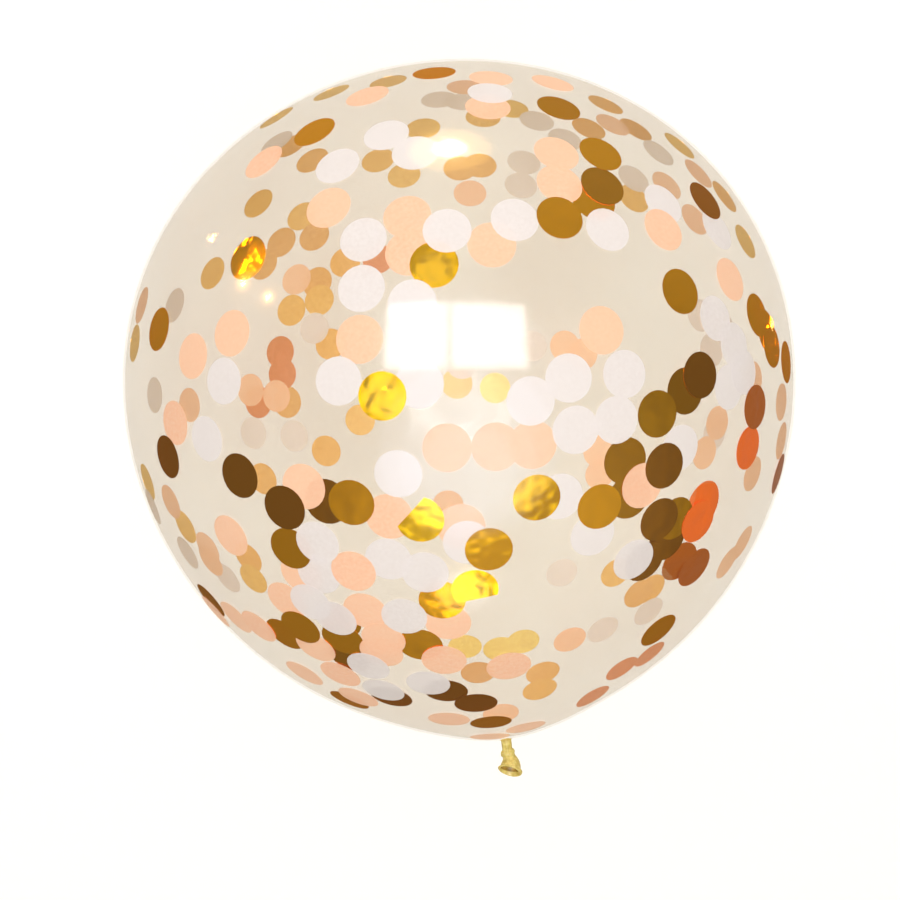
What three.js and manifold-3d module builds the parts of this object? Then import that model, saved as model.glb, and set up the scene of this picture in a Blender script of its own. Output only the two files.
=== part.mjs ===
// A giant clear latex balloon, tied at the neck and lying on its side.
//
// The balloon is one piece of latex: a round body, slightly fuller towards the crown, that draws
// out to a narrow neck, a wrapped knot and a short flared tail with a rolled lip. It is sealed, so
// the body is one solid. The mouth of the tail is an open cup as far down as the knot.
//
// Millimetres, +Z up. The balloon's axis runs along Y, crown towards +Y and neck towards -Y. The
// origin is the middle of the flat spot on which it lies.

import * as THREE from "three";
import { mergeVertices } from "three/addons/utils/BufferGeometryUtils.js";
import Module from "manifold-3d";

// Driving dimensions
const BODY_RADIUS = 333; // half the width across the middle
const FULLNESS = 0.02; // how much the crown half is fuller and the neck half slimmer
const SHOULDERS = 0.012; // how much the shoulders stand out and the flanks near the neck lie in
const FLAT_SPOT_RADIUS = 46; // the spot on which the balloon rests

const DRAW_OUT = 14; // how far the skin is drawn out towards the neck
const DRAW_OUT_SPREAD = 85; // how far from the axis that reaches
const FILLET = 4; // the small cone where the skin meets the neck
const FILLET_SPREAD = 6;

const NECK_RADIUS = 5.3;
const NECK_LENGTH = 14; // from the skin to the middle of the knot
const NECK_ROOT = 8; // how far the neck reaches into the body, to join it
const PLEATS = 7; // gathers that run along the neck
const PLEAT_DEPTH = 0.5;

const KNOT_LOOP_RADIUS = 5.0; // middle of each wrapped strand
const KNOT_STRAND_RADIUS = 2.4;
const KNOT_TILT = 16; // degrees, how much each wrap leans
const KNOT_GAP = 2.6; // between the two wraps, along the neck

const TAIL_LENGTH = 17; // from the knot to the lip, along its own line
const TAIL_BEND = 50; // degrees by which the tail turns up towards +Z
const TAIL_BEND_SIDE = -45; // degrees by which that turn leans towards +X
const TAIL_KINK = 18; // degrees by which the knot sends the tail towards +X
const KINK_LENGTH = 4; // of the tail, hidden by the knot
const MOUTH_RADIUS = 10.4; // outside of the latex just behind the lip
const FLARE_CURVE = 1.4; // over 1, the tail stays narrow for longer before it flares
const LATEX_THICKNESS = 0.8; // unstretched latex at the mouth
const LIP_RADIUS = 1.5; // of the rolled lip's own round section
const LIP_START = 112; // degrees at which that section leaves the outside of the tail
const LIP_SWEEP = 241; // degrees that it goes round
const CUP_DEPTH = 12; // how deep the mouth is open
const CUP_TAPER = 4.4; // how much narrower its floor is than its mouth

const BODY_SEGMENTS = 72;
const BODY_RINGS = 42;
const LAST_RING_ANGLE = Math.PI * 0.965; // closer to the neck the rings go by distance
const NECK_RING_DISTANCES = [25, 18, 13, 9.5, 7, 5.6, 4.6];
const WIDEST_SEARCH_STEP = 0.002; // radians between the places tried for the widest point
const TAIL_SEGMENTS = 28;
const NECK_STEPS = 3;
const FLARE_STEPS = 6;
const LIP_STEPS = 8;
const CUP_STEPS = 5;
const KNOT_SEGMENTS = [8, 22]; // round the strand, round the neck

// A point of the body's outline as (distance from the axis, place along it from the middle)
function outlinePoint(angle) {
  const radius =
    BODY_RADIUS *
    (1 + FULLNESS * Math.cos(angle) - SHOULDERS * Math.cos(3 * angle));
  const distance = radius * Math.sin(angle);
  if (angle < Math.PI / 2)
    return new THREE.Vector2(distance, radius * Math.cos(angle));
  const drawn = DRAW_OUT * Math.exp(-((distance / DRAW_OUT_SPREAD) ** 2));
  const fillet = FILLET * Math.exp(-(distance - NECK_RADIUS) / FILLET_SPREAD);
  return new THREE.Vector2(
    distance,
    radius * Math.cos(angle) - drawn - fillet,
  );
}

// The same, by the distance from the axis, close to the neck
function outlineNearNeck(distance) {
  const poleRadius = BODY_RADIUS * (1 - FULLNESS + SHOULDERS);
  return outlinePoint(Math.PI - Math.asin(distance / poleRadius));
}

// The outline's widest point
function widestPoint() {
  let widest = outlinePoint(0);
  for (let angle = 0; angle < Math.PI; angle += WIDEST_SEARCH_STEP) {
    const point = outlinePoint(angle);
    if (point.x > widest.x) widest = point;
  }
  return widest;
}

const widest = widestPoint();
const axisHeight = Math.sqrt(widest.x ** 2 - FLAT_SPOT_RADIUS ** 2);
const neckStart = outlineNearNeck(NECK_RADIUS).y;
const knotY = neckStart - NECK_LENGTH;
const lipY = knotY - TAIL_LENGTH;

// Half of the body's outline, from the crown to the neck
function bodyProfile() {
  const points = [new THREE.Vector2(0, outlinePoint(0).y)];
  for (let i = 1; i <= BODY_RINGS; i++)
    points.push(outlinePoint((LAST_RING_ANGLE * i) / BODY_RINGS));
  for (const distance of NECK_RING_DISTANCES)
    points.push(outlineNearNeck(distance));
  points.push(new THREE.Vector2(0, points[points.length - 1].y));
  return points;
}

// The outside of the neck, from inside the body to the knot
function neckProfile() {
  const root = neckStart + NECK_ROOT;
  const points = [new THREE.Vector2(0, root), new THREE.Vector2(NECK_RADIUS, root)];
  for (let i = 0; i <= NECK_STEPS; i++) {
    const y = neckStart - (NECK_LENGTH * i) / NECK_STEPS;
    points.push(new THREE.Vector2(NECK_RADIUS, y));
  }
  return points;
}

// The outside of the tail, from the knot to the lip
function flareProfile() {
  const points = [];
  for (let i = 1; i <= FLARE_STEPS; i++) {
    const along = i / FLARE_STEPS;
    const flare = Math.sin((along * Math.PI) / 2) ** FLARE_CURVE;
    points.push(
      new THREE.Vector2(
        NECK_RADIUS + (MOUTH_RADIUS - NECK_RADIUS) * flare,
        knotY - (TAIL_LENGTH - 2 * LIP_RADIUS) * along,
      ),
    );
  }
  return points;
}

// The rolled lip, from the outside over the rim to the inside
function lipProfile() {
  const points = [];
  const middle = new THREE.Vector2(
    MOUTH_RADIUS + LIP_RADIUS - LATEX_THICKNESS,
    lipY,
  );
  for (let i = 1; i < LIP_STEPS; i++) {
    const degrees = LIP_START - (LIP_SWEEP * i) / LIP_STEPS;
    const turn = THREE.MathUtils.degToRad(degrees);
    points.push(
      new THREE.Vector2(Math.cos(turn), Math.sin(turn))
        .multiplyScalar(LIP_RADIUS)
        .add(middle),
    );
  }
  return points;
}

// The inside of the mouth, from the lip to the middle of the cup's rounded floor
function cupProfile() {
  const points = [];
  const depth = CUP_DEPTH - LIP_RADIUS;
  for (let i = 0; i <= CUP_STEPS; i++) {
    const along = i / CUP_STEPS;
    const wall = MOUTH_RADIUS - LATEX_THICKNESS - CUP_TAPER * along ** 2;
    points.push(new THREE.Vector2(wall, lipY + LIP_RADIUS + depth * along));
  }
  points.push(new THREE.Vector2(0, lipY + CUP_DEPTH + LIP_RADIUS));
  return points;
}

// Turns a straight point of the tail about the bend and the kink that start at the knot
function bendTail(point) {
  const along = knotY - point.y;
  if (along <= 0) return point;
  const lean = THREE.MathUtils.degToRad(TAIL_BEND_SIDE);
  const up = new THREE.Vector3(Math.sin(lean), 0, Math.cos(lean));
  const side = new THREE.Vector3(up.z, 0, -up.x);
  const full = THREE.MathUtils.degToRad(TAIL_BEND);
  const bendRadius = TAIL_LENGTH / full;
  const turn = along / bendRadius;
  const fromCentre = bendRadius - (point.x * up.x + point.z * up.z);
  const across = point.x * side.x + point.z * side.z;
  const kink =
    THREE.MathUtils.degToRad(TAIL_KINK) * Math.min(1, along / KINK_LENGTH);
  return new THREE.Vector3(0, -fromCentre * Math.sin(turn), 0)
    .addScaledVector(up, bendRadius - fromCentre * Math.cos(turn))
    .addScaledVector(side, across)
    .applyAxisAngle(new THREE.Vector3(0, 0, 1), kink)
    .add(new THREE.Vector3(0, knotY, 0));
}

// Gathers the neck in pleats, strongest just above the knot
function pleatNeck(point) {
  if (point.y < knotY || point.y > neckStart) return point;
  const around = Math.atan2(point.x, point.z);
  const share = (neckStart - point.y) / NECK_LENGTH;
  const inwards = PLEAT_DEPTH * share * (1 - Math.cos(PLEATS * around));
  const distance = Math.hypot(point.x, point.z);
  if (distance < NECK_RADIUS / 2) return point;
  const scale = (distance - inwards) / distance;
  return new THREE.Vector3(point.x * scale, point.y, point.z * scale);
}

function moveVertices(geometry, move) {
  const position = geometry.getAttribute("position");
  const point = new THREE.Vector3();
  for (let i = 0; i < position.count; i++) {
    point.fromBufferAttribute(position, i);
    const moved = move(point);
    position.setXYZ(i, moved.x, moved.y, moved.z);
  }
  return geometry;
}

const wasm = await Module();
wasm.setup();

// A closed geometry as a solid that can be joined and cut
function solidOf(geometry) {
  const bare = geometry.clone();
  bare.deleteAttribute("normal");
  bare.deleteAttribute("uv");
  const merged = mergeVertices(bare, 1e-3);
  return new wasm.Manifold(
    new wasm.Mesh({
      numProp: 3,
      vertProperties: merged.getAttribute("position").array,
      triVerts: new Uint32Array(merged.index.array),
    }),
  );
}

function geometryOf(solid) {
  const mesh = solid.getMesh();
  const geometry = new THREE.BufferGeometry();
  geometry.setAttribute(
    "position",
    new THREE.BufferAttribute(mesh.vertProperties, 3),
  );
  geometry.setIndex(new THREE.BufferAttribute(mesh.triVerts, 1));
  geometry.computeVertexNormals();
  return geometry;
}

// A lathe's profile is drawn from the crown down, which leaves its faces pointing in
function latheSolid(profile, segments, ...moves) {
  const lathe = new THREE.LatheGeometry(profile.reverse(), segments);
  for (const move of moves) moveVertices(lathe, move);
  return solidOf(lathe);
}

// Neck and tail, bent, with the mouth open
function tailSolid() {
  const profile = [
    ...neckProfile(),
    ...flareProfile(),
    ...lipProfile(),
    ...cupProfile(),
  ];
  return latheSolid(profile, TAIL_SEGMENTS, pleatNeck, bendTail);
}

// One strand of latex wrapped round the neck
function knotWrap(offset, tilt) {
  const wrap = new THREE.TorusGeometry(
    KNOT_LOOP_RADIUS,
    KNOT_STRAND_RADIUS,
    ...KNOT_SEGMENTS,
  );
  wrap.rotateX(Math.PI / 2);
  wrap.rotateX(THREE.MathUtils.degToRad(tilt));
  wrap.rotateZ(THREE.MathUtils.degToRad(tilt / 2));
  wrap.translate(0, knotY + offset, 0);
  return solidOf(wrap);
}

function balloonSolid() {
  const body = latheSolid(bodyProfile(), BODY_SEGMENTS);
  const cutter = 4 * FLAT_SPOT_RADIUS;
  const floorCut = new THREE.BoxGeometry(cutter, cutter, cutter).translate(
    0,
    widest.y,
    -axisHeight - cutter / 2,
  );
  return body
    .subtract(solidOf(floorCut))
    .add(tailSolid())
    .add(knotWrap(KNOT_GAP / 2, KNOT_TILT))
    .add(knotWrap(-KNOT_GAP / 2, -KNOT_TILT));
}

const clearLatex = new THREE.MeshStandardMaterial({
  color: "#efe4cd",
  roughness: 0.08,
  metalness: 0,
  transparent: true,
  opacity: 0.35,
});

const balloon = new THREE.Mesh(geometryOf(balloonSolid()), clearLatex);
balloon.name = "balloon";
balloon.position.set(0, -widest.y, axisHeight);

const part = new THREE.Group();
part.add(balloon);

export default part;
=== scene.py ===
"""A giant clear latex balloon full of tissue and foil confetti, lying on its side, seen from above.

Metres, in the part's own frame: the balloon's axis runs along Y, crown towards +Y and neck towards
-Y, and it lies on Z = 0.
"""

import math
import random

import bpy
from mathutils import Matrix, Vector


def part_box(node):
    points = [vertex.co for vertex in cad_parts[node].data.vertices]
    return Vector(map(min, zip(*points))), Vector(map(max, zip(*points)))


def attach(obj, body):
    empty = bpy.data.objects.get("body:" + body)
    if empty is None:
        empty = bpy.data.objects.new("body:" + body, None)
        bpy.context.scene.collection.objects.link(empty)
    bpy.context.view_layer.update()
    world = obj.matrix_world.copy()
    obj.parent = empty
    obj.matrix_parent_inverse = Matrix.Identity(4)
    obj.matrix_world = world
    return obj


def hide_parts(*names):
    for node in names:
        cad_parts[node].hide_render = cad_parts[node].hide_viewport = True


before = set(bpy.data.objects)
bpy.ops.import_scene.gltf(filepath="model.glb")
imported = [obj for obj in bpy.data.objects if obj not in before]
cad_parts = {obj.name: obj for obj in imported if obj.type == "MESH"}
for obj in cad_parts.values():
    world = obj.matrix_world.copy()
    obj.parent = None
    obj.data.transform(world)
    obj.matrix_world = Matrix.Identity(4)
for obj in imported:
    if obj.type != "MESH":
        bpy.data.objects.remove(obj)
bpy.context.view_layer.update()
low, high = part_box("balloon")

MM = 0.001
WELD = 0.01 * MM  # points closer together than this count as one

# The balloon's form, as in the part's solid, with its angles in degrees
BODY_RADIUS = 333 * MM
FULLNESS = 0.02
SHOULDERS = 0.012
DRAW_OUT = 14 * MM
DRAW_OUT_SPREAD = 85 * MM
FILLET = 4 * MM
FILLET_SPREAD = 6 * MM
NECK_RADIUS = 5.3 * MM
NECK_LENGTH = 14 * MM
PLEATS = 7
PLEAT_DEPTH = 0.5 * MM
KNOT_LOOP_RADIUS = 5.0 * MM
KNOT_STRAND_RADIUS = 2.4 * MM
KNOT_TILT = 16
KNOT_GAP = 2.6 * MM
KNOT_SEGMENTS = 48
STRAND_SEGMENTS = 16
TAIL_LENGTH = 17 * MM
TAIL_BEND = 50
TAIL_BEND_SIDE = -45
TAIL_KINK = 18
KINK_LENGTH = 4 * MM
MOUTH_RADIUS = 10.4 * MM
FLARE_CURVE = 1.4
LATEX_THICKNESS = 0.8 * MM
LIP_RADIUS = 1.5 * MM
CUP_DEPTH = 12 * MM
CUP_TAPER = 4.4 * MM
CUP_FLOOR_RADIUS = 2.5 * MM
CUP_FLOOR_RISE = 1.1 * MM
LIP_START = 112
LIP_TURN = 241
TAIL_STEPS = 10
LIP_STEPS = 14

# The skin of the body has a clear glossy outer face and a milky inner face, with the confetti
# between them. The real film is thinner, but it clings to each disc in the same way.
WALL = 2.2 * MM
SKIN_STEPS = 160
BODY_RINGS = 96
BODY_END = 0.965 * math.pi  # the last of the even rings, by its angle from the crown
NECK_RINGS = (30, 25, 20, 16, 13, 10.5, 8.5, 7, 6)  # mm from the axis, beyond the last one
INNER_END_RADIUS = 14 * MM
COLLAR = 0.3 * MM  # how far the dense latex of the neck reaches up the body
MOUTH_FACING = 0.3  # faces whose normals point outwards by less look into the mouth
SKIN_SMOOTH = 40  # degrees between faces up to which they are shaded smooth

# Confetti
DISC_RADIUS = 19.5 * MM
DISC_SIDES = 24
DISC_THICKNESS = 0.1 * MM
DISC_SMOOTH = 30
# Creases, each (place as a share of the radius, direction and turn in degrees)
BENT_CREASES = ((0.15, 0, 7), (-0.4, 130, 5))
FOLDED_CREASES = ((0.5, 0, 172),)
# Layers of discs, counted inwards from the outer face
FIRST_LAYER = 0.35 * MM
LAYER_STEP = 0.22 * MM
LAST_LAYER = 6
NEAR_POLE = 0.95  # normals as close to the axis as this get another direction for up
SEED = 11

AXIS = Vector((0, 1, 0))
centre = Vector((
    0,
    high.y - BODY_RADIUS * (1 + FULLNESS - SHOULDERS),
    high.z - (high.x - low.x) / 2,
))

# The view: straight down, turned so that the neck points down and a little to the right
PICTURE_SIZE = 900
SENSOR = 36
LENS = 54.4
VIEW_DISTANCE = 4.17 * BODY_RADIUS
VIEW_ROLL = math.radians(-7.6)
BALL_PIXEL = (461, 402)
# How far past the middle and how finely lines of sight, and how often angles, are searched
SIGHT_REACH = 1.2 * BODY_RADIUS
SIGHT_HALVINGS = 30
WALL_TRIES = 4


# The form of the skin

def outline(angle):
    """Distance from the axis and place along it, from the middle, at an angle from the crown."""
    radius = BODY_RADIUS * (1 + FULLNESS * math.cos(angle) - SHOULDERS * math.cos(3 * angle))
    distance = radius * math.sin(angle)
    along = radius * math.cos(angle)
    if angle > math.pi / 2:
        along -= DRAW_OUT * math.exp(-((distance / DRAW_OUT_SPREAD) ** 2))
        along -= FILLET * math.exp(-(distance - NECK_RADIUS) / FILLET_SPREAD)
    return Vector((distance, along))


def outline_near_neck(distance):
    """The same, by the distance from the axis."""
    pole_radius = BODY_RADIUS * (1 - FULLNESS + SHOULDERS)
    return outline(math.pi - math.asin(distance / pole_radius))


def outline_normal(angle):
    step = 0.002
    ahead = outline(min(angle + step, math.pi)) - outline(max(angle - step, 0))
    return Vector((-ahead.y, ahead.x)).normalized()


def wall_at(point):
    """The skin's outer face nearest to a point beside it, as place and normal."""
    offset = point - centre
    around = Vector((offset.x, 0, offset.z)).normalized()
    wanted = offset.angle(AXIS)
    angle = wanted
    for _ in range(WALL_TRIES):
        spot = outline(angle)
        angle += wanted - math.atan2(spot.x, spot.y)
        angle = min(max(angle, 0), math.pi)
    spot = outline(angle)
    normal = outline_normal(angle)
    place = centre + around * spot.x + AXIS * spot.y
    if place.z < 0:
        return Vector((place.x, place.y, 0)), Vector((0, 0, -1))
    return place, around * normal.x + AXIS * normal.y


# The camera, and where a line of sight meets the skin

def add_camera():
    turn = Matrix.Rotation(VIEW_ROLL, 3, "Z")
    focal = LENS / SENSOR * PICTURE_SIZE
    middle = PICTURE_SIZE / 2
    aside = Vector((BALL_PIXEL[0] - middle, middle - BALL_PIXEL[1], 0)) / focal
    place = centre - turn @ aside * VIEW_DISTANCE + Vector((0, 0, VIEW_DISTANCE))
    bpy.ops.object.camera_add(location=place, rotation=(0, 0, VIEW_ROLL))
    camera = bpy.context.object
    camera.data.lens = LENS
    camera.data.sensor_width = SENSOR
    bpy.context.scene.camera = camera
    return camera


def sight_line(pixel):
    focal = LENS / SENSOR * PICTURE_SIZE
    middle = PICTURE_SIZE / 2
    ahead = Vector((pixel[0] - middle, middle - pixel[1], -focal)).normalized()
    return Matrix.Rotation(VIEW_ROLL, 3, "Z") @ ahead


def outside(point):
    place, _ = wall_at(point)
    return (point - centre).length > (place - centre).length


def seen_spot(camera, pixel, far=False):
    """The place on the near or the far side of the skin that a pixel of the view shows."""
    ahead = sight_line(pixel)
    start = camera.location
    inner = (centre - start).dot(ahead)
    outer = inner + (SIGHT_REACH if far else -SIGHT_REACH)
    for _ in range(SIGHT_HALVINGS):
        middle = (inner + outer) / 2
        if outside(start + ahead * middle):
            outer = middle
        else:
            inner = middle
    return start + ahead * inner


def mirrored_place(camera, pixel, distance):
    """The place that the near side of the skin mirrors at a pixel of the view."""
    spot = seen_spot(camera, pixel)
    place, normal = wall_at(spot)
    return place + sight_line(pixel).reflect(normal) * distance


# Materials

def colour(text):
    """Linear colour of an sRGB hex value."""
    parts = [int(text[i:i + 2], 16) / 255 for i in (1, 3, 5)]
    return [p / 12.92 if p <= 0.04045 else ((p + 0.055) / 1.055) ** 2.4 for p in parts] + [1]


def new_material(name):
    material = bpy.data.materials.new(name)
    material.use_nodes = True
    material.node_tree.nodes.clear()
    return material


def add_node(material, kind, inputs, **settings):
    """Adds a node. An input is a value, or the output of another node that is linked to it."""
    tree = material.node_tree
    node = tree.nodes.new(kind)
    for name, value in settings.items():
        setattr(node, name, value)
    for name, value in inputs.items():
        if isinstance(value, bpy.types.NodeSocket):
            tree.links.new(value, node.inputs[name])
        else:
            node.inputs[name].default_value = value
    return node


def add_surface(material, inputs):
    shader = add_node(material, "ShaderNodeBsdfPrincipled", inputs)
    add_node(material, "ShaderNodeOutputMaterial", {"Surface": shader.outputs["BSDF"]})


def object_noise(material, size, detail=2.0, stretch=(1, 1, 1)):
    """Noise whose blobs are about size metres across, stretched along an axis by less than 1."""
    place = add_node(material, "ShaderNodeTexCoord", {}).outputs["Object"]
    turned = add_node(material, "ShaderNodeMapping", {"Vector": place, "Scale": stretch})
    noise = add_node(material, "ShaderNodeTexNoise", {
        "Vector": turned.outputs["Vector"], "Scale": 1 / size, "Detail": detail})
    return noise.outputs["Fac"]


def toned(material, share, stops):
    """Colours in between those of the stops, each (share, colour), by a share from 0 to 1."""
    ramp = add_node(material, "ShaderNodeValToRGB", {"Fac": share})
    elements = ramp.color_ramp.elements
    while len(elements) < len(stops):
        elements.new(0.5)  # moved to its own place below
    for element, (place, tone) in zip(elements, stops):
        element.position = place
        element.color = colour(tone)
    return ramp.outputs["Color"]


def two_tones(material, share, first, second, start=0.35, end=0.65):
    return toned(material, share, ((start, first), (end, second)))


def disc_tone_and_painted_light(material):
    """0 to 1, one value for each disc: random for most, and set for listed foil discs as painted
    reflection and painted shade.
    """
    return add_node(material, "ShaderNodeAttribute", {}, attribute_name="tone").outputs["Fac"]


def clear_latex_outside():
    """Stretched latex, blown up glass-smooth: clear, with a wet-looking gloss."""
    material = new_material("clear_latex_outer_face")
    add_surface(material, {
        "Base Color": colour("#3a3226"), "Roughness": 0.18, "IOR": 1.52,
        "Specular IOR Level": 1.0, "Coat Weight": 1.0, "Coat IOR": 3.0, "Coat Roughness": 0.1,
        "Alpha": 0.12})
    return material


def clear_latex_inside():
    """The same film from within: powdery, which gives the balloon its milky ivory haze."""
    material = new_material("milky_latex_inner_face")
    streaks = object_noise(material, 110 * MM, detail=5, stretch=(1, 0.5, 1))
    add_surface(material, {
        "Base Color": two_tones(material, streaks, "#d2ae6c", "#e4d0a6"),
        "Roughness": 0.5, "IOR": 1.5, "Alpha": 0.18})
    return material


def thick_latex(name, dark, light):
    """Latex that isn't stretched, at neck, knot and tail: dense, dull yellow, a little waxy."""
    material = new_material(name)
    mottle = object_noise(material, 4 * MM)
    fine = object_noise(material, 0.8 * MM)
    bump = add_node(material, "ShaderNodeBump", {
        "Height": fine, "Strength": 0.25, "Distance": 0.2 * MM})
    add_surface(material, {
        "Base Color": two_tones(material, mottle, dark, light),
        "Roughness": 0.38, "IOR": 1.52, "Subsurface Weight": 0.25,
        "Subsurface Radius": (3 * MM, 2 * MM, 1 * MM), "Subsurface Scale": 1.0,
        "Normal": bump.outputs["Normal"]})
    return material


def tissue(name, light, dark):
    """Tissue paper: matt, thin enough to let a little of what lies behind it through."""
    material = new_material(name)
    cloud = object_noise(material, 3 * MM, detail=5)
    paper = two_tones(material, cloud, dark, light, 0.3, 0.7)
    shade = add_node(material, "ShaderNodeMix", {
        "Factor": disc_tone_and_painted_light(material), "A": paper, "B": colour(light)}, data_type="RGBA")
    crinkle = object_noise(material, 1.5 * MM, detail=4)
    bump = add_node(material, "ShaderNodeBump", {
        "Height": crinkle, "Strength": 0.3, "Distance": 0.15 * MM})
    add_surface(material, {
        "Base Color": shade.outputs["Result"], "Roughness": 0.9, "Alpha": 0.74,
        "Normal": bump.outputs["Normal"]})
    return material


def foil(name, tones, metallic=1.0, roughness=0.16):
    """Metallised plastic film: mirror-bright, tinted, with soft waves where it isn't quite flat,
    and lighter or darker from disc to disc, at random and, for listed discs, as painted reflection
    and painted shade."""
    material = new_material(name)
    shade = toned(material, disc_tone_and_painted_light(material), tones)
    waves = object_noise(material, 16 * MM, detail=1)
    bump = add_node(material, "ShaderNodeBump", {
        "Height": waves, "Strength": 0.55, "Distance": 2 * MM})
    add_surface(material, {
        "Base Color": shade, "Metallic": metallic, "Roughness": roughness,
        "Specular Tint": colour(tones[-1][1]), "Normal": bump.outputs["Normal"]})
    return material


def dusty_foil(name, tones):
    """The same film's other face, dulled by the powder inside a latex balloon, and coloured lighter
    than the foil as a painted reflection of the bright light that the far discs mirror from within.
    """
    material = new_material(name)
    powder = two_tones(material, object_noise(material, 5 * MM, detail=4), "#f2ece6", "#ffffff")
    shade = add_node(material, "ShaderNodeMix", {
        "Factor": 1.0, "A": toned(material, disc_tone_and_painted_light(material), tones), "B": powder},
        data_type="RGBA", blend_type="MULTIPLY")
    add_surface(material, {
        "Base Color": shade.outputs["Result"], "Metallic": 0.1, "Roughness": 0.4})
    return material


def white_floor():
    """Matt white paper that is lit a little from behind, so that it stays white throughout."""
    material = new_material("white_paper_floor")
    grain = object_noise(material, 8 * MM)
    add_surface(material, {
        "Base Color": two_tones(material, grain, "#f4f4f3", "#f7f7f6"), "Roughness": 0.95,
        "Emission Color": colour("#ffffff"), "Emission Strength": 0.15})
    return material


# Modelling

def only(*pieces):
    """Selects these pieces and nothing else, the first of them active."""
    bpy.ops.object.select_all(action="DESELECT")
    for piece in pieces:
        piece.select_set(True)
    bpy.context.view_layer.objects.active = pieces[0]


def spin_outline(name, points):
    """Draws an outline from point to point and spins it round the balloon's axis."""
    bpy.ops.object.select_all(action="DESELECT")
    bpy.ops.mesh.primitive_plane_add(size=MM)
    piece = bpy.context.object
    piece.name = name
    places = [Vector((centre.x + p.x, centre.y + p.y, centre.z)) for p in points]
    bpy.ops.object.mode_set(mode="EDIT")
    bpy.ops.mesh.select_all(action="SELECT")
    bpy.ops.mesh.merge(type="CENTER")
    bpy.ops.transform.translate(value=places[0])
    for here, there in zip(places, places[1:]):
        bpy.ops.mesh.extrude_vertices_move(TRANSFORM_OT_translate={"value": there - here})
    bpy.ops.mesh.select_all(action="SELECT")
    bpy.ops.mesh.spin(steps=SKIN_STEPS, angle=2 * math.pi, center=centre, axis=AXIS)
    bpy.ops.mesh.select_all(action="SELECT")
    bpy.ops.mesh.remove_doubles(threshold=WELD)
    bpy.ops.mesh.normals_make_consistent(inside=False)
    bpy.ops.object.mode_set(mode="OBJECT")
    return piece


def body_outline():
    points = [outline(BODY_END * i / BODY_RINGS) for i in range(BODY_RINGS + 1)]
    return points + [outline_near_neck(distance * MM) for distance in NECK_RINGS]


neck_start = outline_near_neck(NECK_RADIUS).y
knot_y = neck_start - NECK_LENGTH
lip_y = knot_y - TAIL_LENGTH


def tail_outline():
    """Neck, flared tail, rolled lip, and the inside of the mouth down to its floor."""
    neck, flare, lip, cup = [], [], [], []
    for i in range(TAIL_STEPS + 1):
        neck.append(Vector((NECK_RADIUS, neck_start - NECK_LENGTH * i / TAIL_STEPS)))
    for i in range(1, TAIL_STEPS + 1):
        widening = math.sin(i / TAIL_STEPS * math.pi / 2) ** FLARE_CURVE
        flare.append(Vector((
            NECK_RADIUS + (MOUTH_RADIUS - NECK_RADIUS) * widening,
            knot_y - (TAIL_LENGTH - 2 * LIP_RADIUS) * i / TAIL_STEPS,
        )))
    lip_middle = Vector((MOUTH_RADIUS + LIP_RADIUS - LATEX_THICKNESS, lip_y))
    for i in range(1, LIP_STEPS):
        turn = math.radians(LIP_START - LIP_TURN * i / LIP_STEPS)
        lip.append(lip_middle + LIP_RADIUS * Vector((math.cos(turn), math.sin(turn))))
    for i in range(TAIL_STEPS + 1):
        wall = MOUTH_RADIUS - LATEX_THICKNESS - CUP_TAPER * (i / TAIL_STEPS) ** 2
        depth = (CUP_DEPTH - LIP_RADIUS) * i / TAIL_STEPS
        cup.append(Vector((wall, lip_y + LIP_RADIUS + depth)))
    floor = [
        Vector((CUP_FLOOR_RADIUS, lip_y + CUP_DEPTH + CUP_FLOOR_RISE)),
        Vector((0, lip_y + CUP_DEPTH + LIP_RADIUS)),
    ]
    return neck + flare + lip + cup + floor


def pleat_neck(point):
    """Gathers the neck in pleats, strongest just above the knot."""
    share = (neck_start - point.y) / NECK_LENGTH
    if not 0 <= share <= 1:
        return point
    distance = math.hypot(point.x, point.z)
    around = math.atan2(point.x, point.z)
    inwards = PLEAT_DEPTH * share * (1 - math.cos(PLEATS * around))
    scale = (distance - inwards) / distance
    return Vector((point.x * scale, point.y, point.z * scale))


def bend_tail(point):
    """Turns a point of the straight tail about the bend and kink that start at the knot."""
    along = knot_y - point.y
    if along <= 0:
        return point
    lean = math.radians(TAIL_BEND_SIDE)
    up = Vector((math.sin(lean), 0, math.cos(lean)))
    side = Vector((up.z, 0, -up.x))
    bend_radius = TAIL_LENGTH / math.radians(TAIL_BEND)
    turn = along / bend_radius
    from_centre = bend_radius - point.dot(up)
    bent = Vector((0, -from_centre * math.sin(turn), 0))
    bent += up * (bend_radius - from_centre * math.cos(turn)) + side * point.dot(side)
    kink = math.radians(TAIL_KINK) * min(1, along / KINK_LENGTH)
    return Matrix.Rotation(kink, 3, "Z") @ bent + Vector((0, knot_y, 0))


def shape_skin(skin):
    """Pleats the neck, bends the tail and flattens the spot that touches the floor."""
    for vertex in skin.data.vertices:
        point = vertex.co - centre
        if point.y <= neck_start:
            point = bend_tail(pleat_neck(point))
        vertex.co = point + centre
        vertex.co.z = max(vertex.co.z, 0)


def add_knot_wrap(offset, tilt):
    """One strand of latex wrapped round the neck."""
    bpy.ops.mesh.primitive_torus_add(
        location=centre + AXIS * (knot_y + offset),
        rotation=(math.radians(90 + tilt), 0, math.radians(tilt / 2)),
        major_radius=KNOT_LOOP_RADIUS, minor_radius=KNOT_STRAND_RADIUS,
        major_segments=KNOT_SEGMENTS, minor_segments=STRAND_SEGMENTS)
    wrap = bpy.context.object
    bpy.ops.object.transform_apply(location=True, rotation=True, scale=True)
    return wrap


def join_solid(piece, other):
    only(piece)
    union = piece.modifiers.new("union", "BOOLEAN")
    union.operation = "UNION"
    union.solver = "EXACT"
    union.object = other
    bpy.ops.object.modifier_apply(modifier=union.name)
    bpy.data.objects.remove(other)


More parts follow.
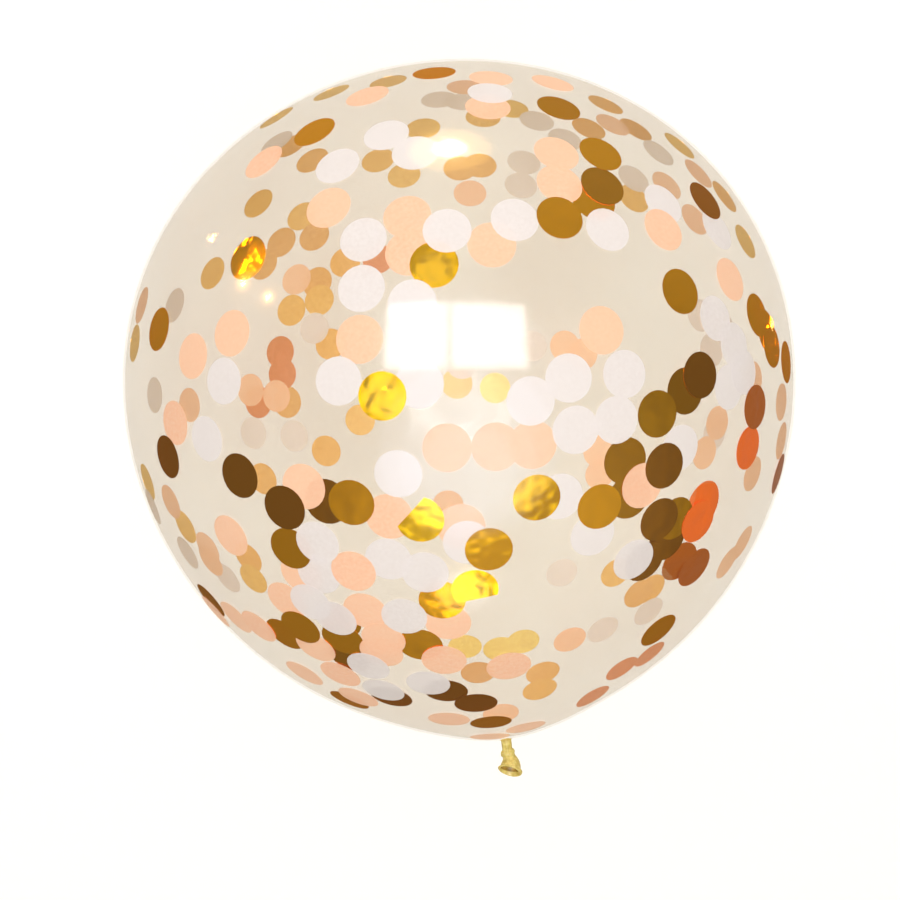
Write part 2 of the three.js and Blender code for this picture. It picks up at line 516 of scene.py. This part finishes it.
def inner_outline():
    """The inner face of the skin, closed off where the neck begins."""
    last = math.pi - math.asin(INNER_END_RADIUS / BODY_RADIUS)
    points = []
    for i in range(BODY_RINGS + 1):
        angle = last * i / BODY_RINGS
        points.append(outline(angle) - outline_normal(angle) * WALL)
    points[0].x = 0
    return points + [Vector((0, points[-1].y))]


def in_mouth(face):
    """Whether a face of the straight tail is on the inside of its open mouth, where the latex is
    painted darker as shade.
    """
    place = face.center - centre
    outwards = Vector((place.x, 0, place.z)).normalized()
    within = lip_y + LIP_RADIUS / 2 < place.y < lip_y + CUP_DEPTH + LIP_RADIUS
    return within and face.normal.dot(outwards) < MOUTH_FACING


def make_skin():
    """Outer face with neck, knot and tail, and the inner face of the body."""
    skin = spin_outline("balloon_skin", body_outline() + tail_outline())
    skin.data.materials.append(clear_latex_outside())
    skin.data.materials.append(thick_latex("unstretched_latex", "#cbb65a", "#e6d685"))
    # The same latex inside the mouth, in darker colours: painted shade, as the skin casts no shadow
    skin.data.materials.append(thick_latex("unstretched_latex_painted_shade_in_mouth", "#84691c", "#b49545"))
    for face in skin.data.polygons:
        face.material_index = 2 if in_mouth(face) else 0
    shape_skin(skin)
    for offset, tilt in ((KNOT_GAP / 2, KNOT_TILT), (-KNOT_GAP / 2, -KNOT_TILT)):
        join_solid(skin, add_knot_wrap(offset, tilt))
    inside = spin_outline("inner_face", inner_outline())
    for vertex in inside.data.vertices:
        vertex.co.z = max(vertex.co.z, WALL)
    inside.data.flip_normals()
    for face in skin.data.polygons:
        if face.material_index == 0 and face.center.y - centre.y < neck_start + COLLAR:
            face.material_index = 1
    inside.data.materials.append(clear_latex_inside())
    only(skin, inside)
    bpy.ops.object.join()
    bpy.ops.object.shade_smooth_by_angle(angle=math.radians(SKIN_SMOOTH))
    skin.visible_shadow = False
    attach(skin, "root")
    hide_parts("balloon")


# Confetti

def model_disc(name, creases=()):
    """A disc of paper or foil, bent up along its creases, each (place, direction, degrees)."""
    bpy.ops.object.select_all(action="DESELECT")
    bpy.ops.mesh.primitive_circle_add(
        vertices=DISC_SIDES, radius=DISC_RADIUS, fill_type="TRIFAN")
    disc = bpy.context.object
    disc.name = name
    for place, direction, degrees in creases:
        fold_disc(disc, place * DISC_RADIUS, math.radians(direction), math.radians(degrees))
    thick = disc.modifiers.new("thickness", "SOLIDIFY")
    thick.thickness = DISC_THICKNESS
    thick.offset = 0
    bpy.ops.object.modifier_apply(modifier=thick.name)
    bpy.ops.object.shade_smooth_by_angle(angle=math.radians(DISC_SMOOTH))
    mark_inner_face(disc)
    return disc


def mark_inner_face(disc):
    """The face that will look into the balloon takes the second material."""
    disc.data.materials.append(None)
    disc.data.materials.append(None)
    for face in disc.data.polygons:
        face.material_index = 1 if face.normal.z > 0.5 else 0


def fold_disc(disc, place, direction, degrees):
    """Creases a disc along a straight line and turns what lies beyond it up."""
    across = Vector((math.cos(direction), math.sin(direction), 0))
    line = Vector((-across.y, across.x, 0))
    bpy.ops.object.mode_set(mode="EDIT")
    bpy.ops.mesh.select_all(action="SELECT")
    bpy.ops.mesh.bisect(plane_co=across * place, plane_no=across)
    bpy.ops.object.mode_set(mode="OBJECT")
    turn = Matrix.Rotation(-degrees, 3, line)
    for vertex in disc.data.vertices:
        beyond = vertex.co - across * place
        if beyond.dot(across) > WELD:
            vertex.co = across * place + turn @ beyond


def lay_on_wall(disc, faces, spot, spin, depth, tone):
    """A copy of a disc that lies against the inside of the skin, at a depth under its outer
    face."""
    place, normal = wall_at(spot)
    up = AXIS if abs(normal.dot(AXIS)) < NEAR_POLE else Vector((1, 0, 0))
    along = (up - normal * up.dot(normal)).normalized()
    along.rotate(Matrix.Rotation(spin, 3, normal))
    across = along.cross(normal)
    copy = disc.copy()
    copy.data = disc.data.copy()
    for vertex in copy.data.vertices:
        beside = place + across * vertex.co.x + along * vertex.co.y
        on_wall, inwards = wall_at(beside)
        vertex.co = on_wall - inwards * (depth + vertex.co.z)
    copy.data.flip_normals()
    for slot, material in enumerate(faces):
        copy.data.materials[slot] = material
    attribute = copy.data.attributes.new("tone", "FLOAT", "POINT")
    attribute.data.foreach_set("value", [tone] * len(copy.data.vertices))
    bpy.context.scene.collection.objects.link(copy)
    return copy


def layer_under(spot, laid):
    """The first free layer under the discs that already lie at a spot."""
    taken = [layer for other, layer in laid if (other - spot).length < 2 * DISC_RADIUS]
    return max(taken) + 1 if taken else 0


# Where the discs on the near side show in the view, by kind: those that lie over the others first
NEAR_OVER = {
    "gold": [
        (434, 72), (314, 131), (246, 257), (158, 329), (382, 396), (559, 107), (601, 153),
        (603, 185), (560, 217), (706, 200), (681, 291), (758, 315), (701, 375), (658, 414),
        (167, 457), (239, 476), (284, 508), (351, 503), (420, 520), (489, 550), (475, 590),
        (300, 628), (476, 704), (537, 498), (600, 507), (665, 466), (659, 631),
        (660, 520),
    ],
    "copper": [(756, 407), (749, 448), (706, 503), (681, 563), (779, 474)],
    "white": [
        (363, 239), (361, 288), (447, 230), (338, 381), (223, 381), (412, 303), (515, 219),
        (569, 378), (531, 401), (625, 374), (576, 430), (206, 439), (317, 543), (425, 573),
        (404, 617), (335, 619), (428, 684), (383, 691), (634, 560), (415, 152), (368, 667),
    ],
    "peach": [
        (328, 207), (367, 95), (231, 333), (192, 356), (359, 339), (174, 423), (602, 330),
        (664, 229), (731, 279), (353, 572), (230, 536), (447, 448), (383, 640), (444, 661),
        (258, 627),
    ],
}
NEAR_BETWEEN = {
    "gold": [(434, 264), (686, 391), (773, 346), (768, 331), (446, 692), (290, 549)],
    "copper": [(699, 522), (695, 568)],
    "white": [
        (419, 384), (386, 134), (608, 229), (467, 543), (398, 474), (617, 420), (593, 535),
        (560, 497), (681, 448), (490, 92), (310, 603), (664, 203), (337, 165),
        (388, 560),
    ],
    "peach": [
        (560, 183), (643, 486), (303, 487), (407, 216), (492, 244), (557, 152), (365, 612),
        (381, 653), (389, 517), (461, 527), (491, 77), (340, 675), (304, 674), (263, 161),
        (553, 82), (315, 648), (215, 612), (358, 698),
    ],
}
NEAR_UNDER = {
    "gold": [
        (594, 199), (787, 362), (326, 502), (442, 601), (210, 601), (284, 635), (342, 640),
        (339, 622), (420, 646), (491, 723), (349, 701), (391, 698), (626, 461), (630, 497),
        (676, 519), (645, 562), (668, 541), (349, 659),
    ],
    "white": [(718, 229), (716, 318), (735, 345), (745, 372), (730, 387), (318, 575)],
    "peach": [
        (409, 252), (488, 106), (496, 447), (533, 445), (286, 601), (448, 624),
        (235, 618), (509, 667), (526, 728), (449, 720), (300, 575), (490, 738),
    ],
}
# Where the discs on the far side show through the near side
FAR = {
    "gold": [
        (258, 203), (312, 160), (291, 145), (276, 117), (331, 92), (388, 81), (423, 128),
        (378, 160), (404, 175), (460, 168), (480, 165), (302, 216), (314, 236), (281, 242),
        (263, 264), (212, 273), (317, 282), (319, 300), (291, 310), (345, 262), (287, 402),
        (330, 344), (360, 420), (326, 451), (134, 343), (457, 384),
        (495, 388), (483, 117), (511, 108), (589, 128), (606, 104), (636, 129), (680, 145),
        (634, 198), (725, 196), (746, 241), (147, 482), (185, 527),
        (263, 479), (248, 558), (253, 579), (448, 505), (465, 647), (478, 673), (500, 649),
        (523, 642), (543, 673), (540, 690), (616, 573), (651, 589), (639, 594),
    ],
    "copper": [
        (280, 352), (282, 374), (378, 259), (258, 402), (622, 669), (650, 655), (593, 697),
    ],
    "white": [
        (439, 99), (174, 305), (154, 395), (253, 433), (294, 436), (463, 101), (537, 120),
        (524, 162), (565, 139), (634, 178), (659, 152), (532, 346), (521, 185), (187, 553),
        (152, 507), (462, 364), (314, 328), (700, 315), (725, 330), (712, 350), (715, 433),
        (649, 612), (227, 578), (603, 630), (562, 573), (276, 142),
    ],
    "peach": [
        (470, 193), (296, 279), (276, 396), (250, 390), (141, 305), (465, 86), (613, 124),
        (667, 185), (695, 219), (699, 173), (598, 451), (705, 453), (753, 474), (782, 402),
        (207, 548), (210, 561), (170, 502), (570, 640), (501, 714), (782, 441), (718, 423),
        (565, 346), (189, 405), (583, 354), (754, 379), (743, 543), (728, 563),
        (600, 474),
    ],
}
# Foil discs that have come partly unstuck: the direction in which they're creased, in degrees
FOLDED = {(420, 520): 130, (475, 590): 275}
BENT = {(681, 563): 100, (706, 503): 40, (246, 257): 150}
# Tones of foil, each (share, colour)
GOLDS = ((0, "#ac6c04"), (0.45, "#dea606"), (0.8, "#fcb806"), (1, "#ffca0c"))
COPPERS = ((0, "#a85c0c"), (1, "#ff7826"))
# The powdery faces are real dust, and their light colours are a painted reflection of what the far
# discs mirror from within
DUSTY_PAINTED_LIGHT_GOLDS = ((0, "#e6ac74"), (0.5, "#ffc66a"), (1, "#ffe67e"))
DUSTY_PAINTED_LIGHT_COPPERS = ((0, "#e67e50"), (1, "#f6966a"))
# Foil discs given the lightest tone, a painted reflection of something bright that they mirror, and
# those given a light and a dark tone, painted reflection and painted shade of the room they mirror
PAINTED_HIGHLIGHT_DISCS = {
    (382, 396), (420, 520), (475, 590), (434, 264), (495, 388), (523, 642), (500, 649),
    (465, 647), (749, 448), (706, 503), (699, 522),
}
PAINTED_LIGHT_DISCS = {
    (442, 601), (351, 503), (600, 507), (560, 217), (300, 628), (284, 635), (342, 640),
    (339, 622), (290, 549), (420, 646), (681, 291), (758, 315), (314, 131), (158, 329),
    (434, 72), (773, 346), (768, 331), (787, 362), (659, 631), (746, 241), (511, 108),
    (680, 145), (331, 92), (134, 343), (276, 117), (147, 482),
}
PAINTED_SHADE_DISCS = {
    (239, 476), (284, 508), (167, 457), (476, 704), (446, 692), (665, 466), (701, 375),
    (706, 200), (326, 502), (660, 520), (645, 562), (756, 407), (681, 563), (779, 474),
    (210, 601), (391, 698), (695, 568), (448, 505), (478, 673),
    (668, 541),
}
# The first three tones are painted reflection and painted shade; the others differ at random
PAINTED_HIGHLIGHT_TONE = 1
PAINTED_LIGHT_TONE = 0.8
PAINTED_SHADE_TONE = 0.1
OTHER_TONES = (0.25, 0.75)


def picked_spots(camera):
    """Kind, place and pixel of each disc."""
    spots = []
    for group in (NEAR_OVER, NEAR_BETWEEN, NEAR_UNDER, FAR):
        for kind, pixels in group.items():
            for pixel in pixels:
                spots.append((kind, seen_spot(camera, pixel, far=group is FAR), pixel))
    return spots


def lay_discs(camera, faces):
    """All the discs, by kind."""
    dice = random.Random(SEED)
    flat = model_disc("flat_disc")
    bent = model_disc("bent_disc", BENT_CREASES)
    folded = model_disc("folded_disc", FOLDED_CREASES)
    laid = []
    discs = {"gold": [], "copper": [], "white": [], "peach": []}
    for kind, spot, pixel in picked_spots(camera):
        layer = layer_under(spot, laid)
        laid.append((spot, layer))
        depth = FIRST_LAYER + LAYER_STEP * min(layer, LAST_LAYER)
        shape, spin = flat, dice.uniform(0, 2 * math.pi)
        if pixel in FOLDED:
            shape, spin = folded, math.radians(FOLDED[pixel])
        if pixel in BENT:
            shape, spin = bent, math.radians(BENT[pixel])
        tone = dice.uniform(*OTHER_TONES)
        # Listed foil discs take a lighter or darker tone: painted reflection and painted shade
        if pixel in PAINTED_HIGHLIGHT_DISCS:
            tone = PAINTED_HIGHLIGHT_TONE
        if pixel in PAINTED_LIGHT_DISCS:
            tone = PAINTED_LIGHT_TONE
        if pixel in PAINTED_SHADE_DISCS:
            tone = PAINTED_SHADE_TONE
        discs[kind].append(lay_on_wall(shape, faces[kind], spot, spin, depth, tone))
    for shape in (flat, bent, folded):
        bpy.data.objects.remove(shape)
    return discs


def make_confetti(camera):
    white = tissue("white_tissue", "#f2edee", "#e9e2e2")
    peach = tissue("peach_tissue", "#ffd8b8", "#fcc2a0")
    faces = {
        "gold": (foil("gold_foil", GOLDS),
                 dusty_foil("gold_foil_inner_face", DUSTY_PAINTED_LIGHT_GOLDS)),
        "copper": (foil("copper_foil", COPPERS, metallic=0.15, roughness=0.28),
                   dusty_foil("copper_foil_inner_face", DUSTY_PAINTED_LIGHT_COPPERS)),
        "white": (white, white),
        "peach": (peach, peach),
    }
    for kind, discs in lay_discs(camera, faces).items():
        only(*discs)
        bpy.ops.object.join()
        confetti = bpy.context.object
        slot = faces[kind][0].name
        confetti.name = slot + "_confetti"
        confetti.visible_shadow = False
        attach(confetti, "root")


# Stage

# The window in the ceiling: its height over the balloon's centre, and its panes, each by the
# pixels between which the skin mirrors it, left, top, right and bottom
CEILING = 2.3
WINDOW_RADIANCE = 13
WINDOW_PANES = {
    "window_left_pane": (385, 303, 447, 367),
    "window_right_pane": (452, 303, 527, 367),
}
# Lamps that light the matt surfaces and don't show: (place in the view, size, radiance)
SOFTBOXES = {
    "window_light": ((-0.22, 1.6, 5.1), (4, 2.6), 6.0),
    "fill_below": ((-0.4, -5.3, 2.7), (6.6, 4.4), 0.8),
}
# Round lamps and bright patches of the room that only show as reflections:
# (pixel at which the skin mirrors the middle, size, radiance, tint)
REFLECTIONS = {
    "lamp": [((450, 148), 0.30, 60, "#ffe0a8")],
    "lamp_glow": [((450, 149), 0.8, 4, "#ffc860")],
    "fairy_light": [
        ((243, 283), 0.07, 230, "#ffbc6c"), ((268, 297), 0.07, 230, "#ffbc6c"),
        ((212, 238), 0.07, 230, "#ffbc6c"), ((772, 325), 0.07, 230, "#ffbc6c"),
    ],
    "ceiling_glow": [
        ((468, 470), 1.2, 1.0, "#cfe0ff"), ((468, 462), 1.8, 1.0, "#cfe0ff"),
        ((468, 452), 2.4, 1.0, "#cfe0ff"),
    ],
    "bright_wall": [
        ((382, 396), 0.5, 0.9, "#ffffff"), ((463, 593), 0.6, 1.4, "#ffffff"),
        ((434, 268), 0.45, 0.5, "#ffffff"),
    ],
}
REFLECTION_DISTANCE = 2.2
# The room's tone, and where it is brighter:
# (pixel at which the skin mirrors that direction, tone, cosine at which it starts)
ROOM_TONE = "#9c9384"
BRIGHTER_ROOM = [((450, 110), "#d2c9b8", 0), ((510, 530), "#d8d0bc", 0.5)]
BRIGHTEST_ROOM = 0.95  # cosine from which the brighter tone is full
FLOOR_SIZE = 12
FLOOR_GAP = 0.3 * MM


def in_view(place):
    """A place counted from the balloon's centre: right, up and towards the camera in the view."""
    return centre + Matrix.Rotation(VIEW_ROLL, 3, "Z") @ Vector(place)


def add_softbox(name, place, size, radiance, tint="#ffffff", target=None, lights=True, shows=True):
    """A rectangular lamp that faces the balloon, or straight down. It lights matt surfaces, shows
    as a reflection in glossy ones, or both."""
    away = place - (target or centre)
    across = Matrix.Rotation(VIEW_ROLL, 3, "Z") @ Vector((0, 1, 0))
    across = across.cross(away).normalized()
    bpy.ops.object.light_add(type="AREA", location=place)
    lamp = bpy.context.object
    lamp.name = name
    lamp.rotation_euler = Matrix((
        across, away.cross(across).normalized(), away.normalized())).transposed().to_euler()
    lamp.data.shape = "RECTANGLE"
    lamp.data.size = size[0]
    lamp.data.size_y = size[1]
    lamp.data.energy = radiance * math.pi * size[0] * size[1]
    lamp.data.color = colour(tint)[:3]
    lamp.visible_diffuse = lights
    lamp.visible_glossy = shows
    return lamp


def add_reflection(camera, name, pixel, size, radiance, tint):
    """A lamp or a bright thing in the room that the skin mirrors at a pixel of the view."""
    place = mirrored_place(camera, pixel, REFLECTION_DISTANCE)
    lamp = add_softbox(name, place, (size, size), radiance, tint, lights=False)
    lamp.data.shape = "ELLIPSE"


def add_pane(camera, name, left, top, right, bottom):
    """Part of a window in the ceiling, by the pixels between which the skin mirrors it."""
    edges = []
    for pixel in ((left, (top + bottom) / 2), (right, (top + bottom) / 2),
                  ((left + right) / 2, top), ((left + right) / 2, bottom)):
        start = mirrored_place(camera, pixel, 0)
        ahead = mirrored_place(camera, pixel, 1) - start
        edges.append(start + ahead * ((centre.z + CEILING - start.z) / ahead.z))
    place = sum(edges, Vector()) / 4
    size = ((edges[1] - edges[0]).length, (edges[2] - edges[3]).length)
    target = place - Vector((0, 0, 1))
    add_softbox(name, place, size, WINDOW_RADIANCE, target=target, lights=False)


def add_lights(camera):
    for name, pixels in WINDOW_PANES.items():
        add_pane(camera, name, *pixels)
    for name, (place, size, radiance) in SOFTBOXES.items():
        add_softbox(name, in_view(place), size, radiance, shows=False)
    for name, lamps in REFLECTIONS.items():
        for lamp in lamps:
            add_reflection(camera, name, *lamp)


def make_room(camera):
    """A dim warm room, brighter where the skin mirrors it at its top and below its middle."""
    world = bpy.data.worlds.new("dim_warm_room")
    world.use_nodes = True
    ahead = add_node(world, "ShaderNodeTexCoord", {}).outputs["Generated"]
    tones = colour(ROOM_TONE)
    for pixel, tone, start in BRIGHTER_ROOM:
        bright = mirrored_place(camera, pixel, 1) - mirrored_place(camera, pixel, 0)
        near = add_node(world, "ShaderNodeVectorMath", {
            0: ahead, 1: bright}, operation="DOT_PRODUCT").outputs["Value"]
        share = add_node(world, "ShaderNodeMapRange", {
            "Value": near, "From Min": start, "From Max": BRIGHTEST_ROOM}).outputs["Result"]
        tones = add_node(world, "ShaderNodeMix", {
            "Factor": share, "A": tones, "B": colour(tone)}, data_type="RGBA").outputs["Result"]
    world.node_tree.links.new(tones, world.node_tree.nodes["Background"].inputs["Color"])
    bpy.context.scene.world = world


def make_stage():
    bpy.ops.mesh.primitive_plane_add(size=FLOOR_SIZE, location=(0, 0, -FLOOR_GAP))
    floor = bpy.context.object
    floor.name = "floor"
    floor.data.materials.append(white_floor())
    floor.visible_glossy = False
    bpy.context.scene.view_settings.view_transform = "Standard"


camera = add_camera()
make_skin()
make_confetti(camera)
add_lights(camera)
make_room(camera)
make_stage()
